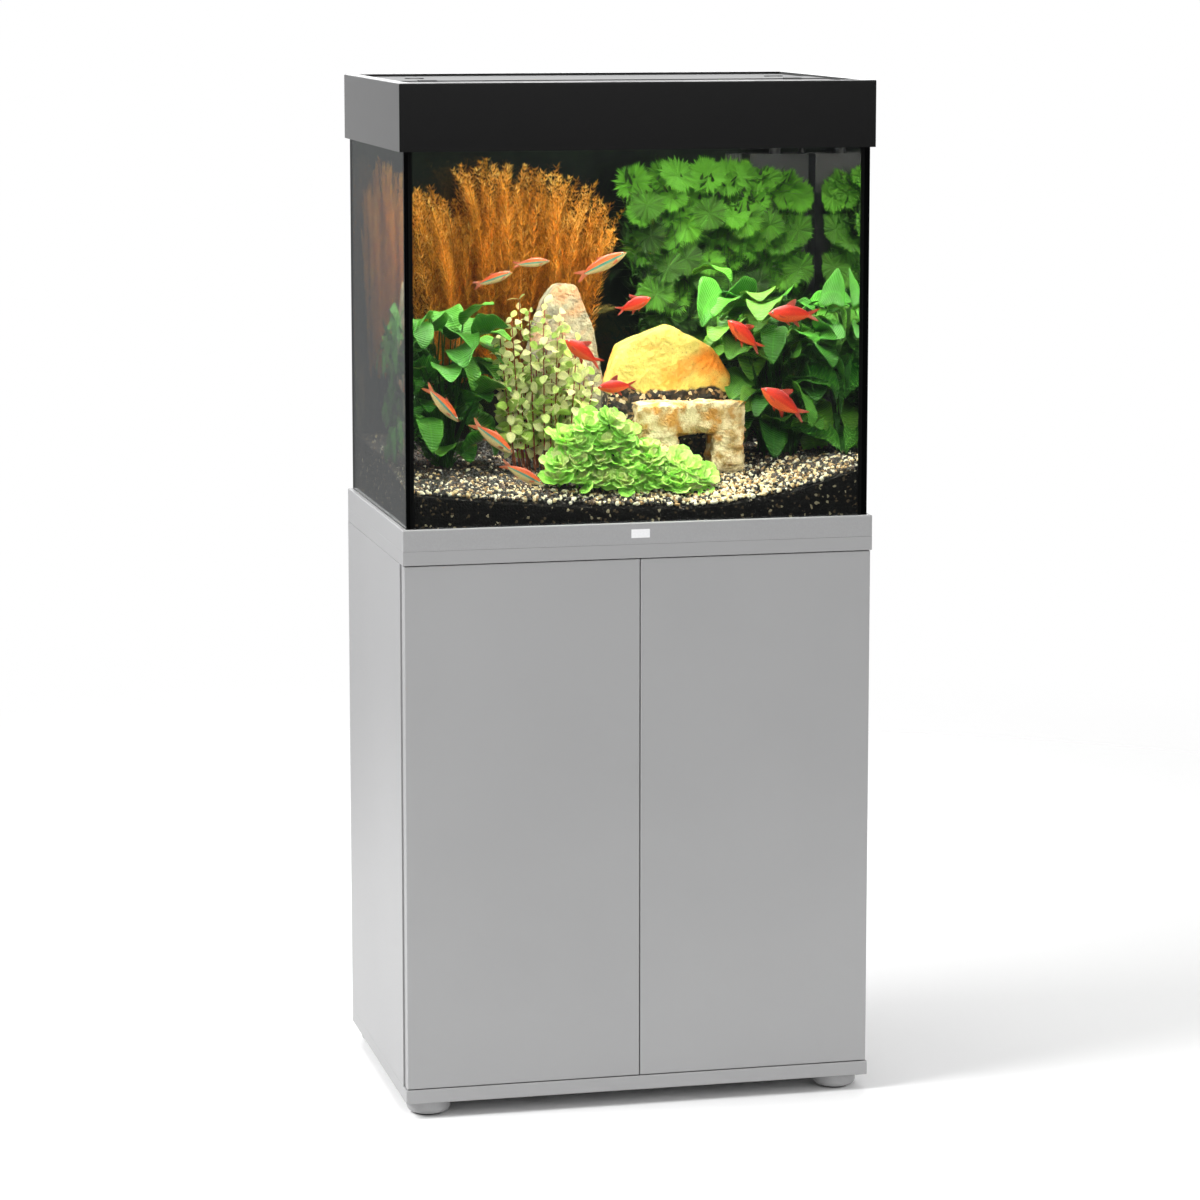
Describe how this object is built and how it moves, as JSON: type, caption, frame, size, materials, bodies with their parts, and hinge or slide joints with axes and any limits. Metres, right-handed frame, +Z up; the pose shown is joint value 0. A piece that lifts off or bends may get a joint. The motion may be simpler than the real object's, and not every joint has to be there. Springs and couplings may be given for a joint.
{
  "type": "aquarium on stand",
  "caption": "Rectangular planted glass aquarium with a lit flap-top hood, on a matching grey cabinet stand with hinged doors.",
  "frame": {"origin": "on the floor, under the middle of the cabinet", "axes": "+X to the right seen from the front, +Y to the back, +Z up"},
  "size_m": [0.61, 0.41, 1.31],
  "materials": {
    "cabinet_grey": "grey laminate on particle board, satin",
    "door_grey": "grey laminate on particle board, satin",
    "frame_grey": "grey moulded plastic, satin",
    "foot_grey": "grey moulded plastic",
    "felt_pad": "black felt",
    "steel": "nickel-plated steel",
    "zinc": "zinc die casting",
    "beech": "plain beech",
    "pin_metal": "plated",
    "latch_plastic": "grey moulded plastic",
    "badge_silver": "blank, satin silver",
    "clear_glass": "clear float glass",
    "black_silicone": "black silicone",
    "background": "black-green film",
    "gravel": "black gravel with pale grains",
    "pale_rock": "pale cream rock",
    "golden_rock": "golden sandstone",
    "slab_rock": "pale ochre rock",
    "amber_plant": "feathery amber leaves",
    "green_plant": "green leaves",
    "pale_green_plant": "yellow-green leaves on red stems",
    "striped_scales": "orange and silver scales with a dark stripe",
    "red_scales": "red scales",
    "filter_black": "black moulded plastic",
    "sponge_blue": "open filter foam",
    "pump_black": "black moulded plastic",
    "rotor_white": "white moulded plastic",
    "heater_glass": "smoked glass tube",
    "knob_grey": "dark grey moulded plastic",
    "hood_black": "black moulded plastic, fine grain",
    "lid_black": "black moulded plastic",
    "tube_light": "lit light tube",
    "cap_grey": "grey moulded plastic"
  },
  "bodies": {
    "cabinet_and_tank": {"base_plate": "cabinet_grey", "top_board": "cabinet_grey", "left_side_panel": "cabinet_grey", "right_side_panel": "cabinet_grey", "back_panel": "cabinet_grey", "shelf": "cabinet_grey", "shelf_pins": "pin_metal", "cam_lock_fittings": "zinc", "wood_dowels": "beech", "feet": "foot_grey", "foot_pads": "felt_pad", "foot_screws": "steel", "hinge_mounting_plates": "steel", "hinge_arms": "steel", "hinge_screws": "steel", "push_latch_housings": "latch_plastic", "base_frame": "frame_grey", "name_plate": "badge_silver", "bottom_glass": "clear_glass", "front_glass": "clear_glass", "back_glass": "clear_glass", "left_glass": "clear_glass", "right_glass": "clear_glass", "silicone_seams": "black_silicone", "background_film": "background", "gravel_bed": "gravel", "tall_stone": "pale_rock", "golden_stone": "golden_rock", "slab_stone": "slab_rock", "amber_feather_plant": "amber_plant", "round_leaf_plant": "green_plant", "left_broadleaf_plant": "green_plant", "right_broadleaf_plant": "green_plant", "small_leaf_stem_plant": "pale_green_plant", "lettuce_plant": "green_plant", "striped_fish": "striped_scales", "red_fish": "red_scales", "filter_housing": "filter_black", "filter_sponges": "sponge_blue", "pump_body": "pump_black", "heater_tube": "heater_glass", "heater_clips": "pump_black"},
    "left_door_body": {"left_door": "door_grey", "left_hinge_cups": "steel", "left_strike_plate": "steel"},
    "right_door_body": {"right_door": "door_grey", "right_hinge_cups": "steel", "right_strike_plate": "steel"},
    "left_plunger_body": {"left_latch_plunger": "latch_plastic"},
    "right_plunger_body": {"right_latch_plunger": "latch_plastic"},
    "hood_body": {"hood_frame": "hood_black", "light_bar": "lid_black", "light_tubes": "tube_light", "tube_end_caps": "cap_grey", "flap_hinge_pins": "steel"},
    "front_flap_body": {"front_flap": "lid_black"},
    "rear_flap_body": {"rear_flap": "lid_black"},
    "nozzle_body": {"outlet_nozzle": "pump_black"},
    "impeller_body": {"pump_impeller": "rotor_white"},
    "knob_body": {"heater_knob": "knob_grey"}
  },
  "joints": [
    {"name": "left_door_hinge", "type": "hinge", "parent": "cabinet_and_tank", "child": "left_door_body", "pos_m": [-0.303, -0.204, 0.375], "axis": [0, 0, -1], "range_deg": [0, 105]},
    {"name": "right_door_hinge", "type": "hinge", "parent": "cabinet_and_tank", "child": "right_door_body", "pos_m": [0.303, -0.204, 0.375], "axis": [0, 0, 1], "range_deg": [0, 105]},
    {"name": "left_latch_press", "type": "slide", "parent": "cabinet_and_tank", "child": "left_plunger_body", "axis": [0, 1, 0], "range_m": [0, 0.0025], "stiffness_N_per_m": 200},
    {"name": "right_latch_press", "type": "slide", "parent": "cabinet_and_tank", "child": "right_plunger_body", "axis": [0, 1, 0], "range_m": [0, 0.0025], "stiffness_N_per_m": 200},
    {"name": "hood_lift", "type": "slide", "parent": "cabinet_and_tank", "child": "hood_body", "axis": [0, 0, 1], "range_m": [0, 0.15]},
    {"name": "front_flap_hinge", "type": "hinge", "parent": "hood_body", "child": "front_flap_body", "pos_m": [0, -0.047, 1.305], "axis": [-1, 0, 0], "range_deg": [0, 95]},
    {"name": "rear_flap_hinge", "type": "hinge", "parent": "hood_body", "child": "rear_flap_body", "pos_m": [0, 0.047, 1.305], "axis": [1, 0, 0], "range_deg": [0, 95]},
    {"name": "nozzle_swivel", "type": "hinge", "parent": "cabinet_and_tank", "child": "nozzle_body", "pos_m": [0.248, 0.158, 1.215], "axis": [0, 0, 1], "range_deg": [-15, 60]},
    {"name": "impeller_spin", "type": "hinge", "parent": "cabinet_and_tank", "child": "impeller_body", "pos_m": [0.248, 0.158, 1.15], "axis": [0, 0, 1], "continuous": true},
    {"name": "heater_knob_turn", "type": "hinge", "parent": "cabinet_and_tank", "child": "knob_body", "pos_m": [0.191, 0.156, 1.198], "axis": [0, 0, 1], "range_deg": [0, 270]}
  ]
}
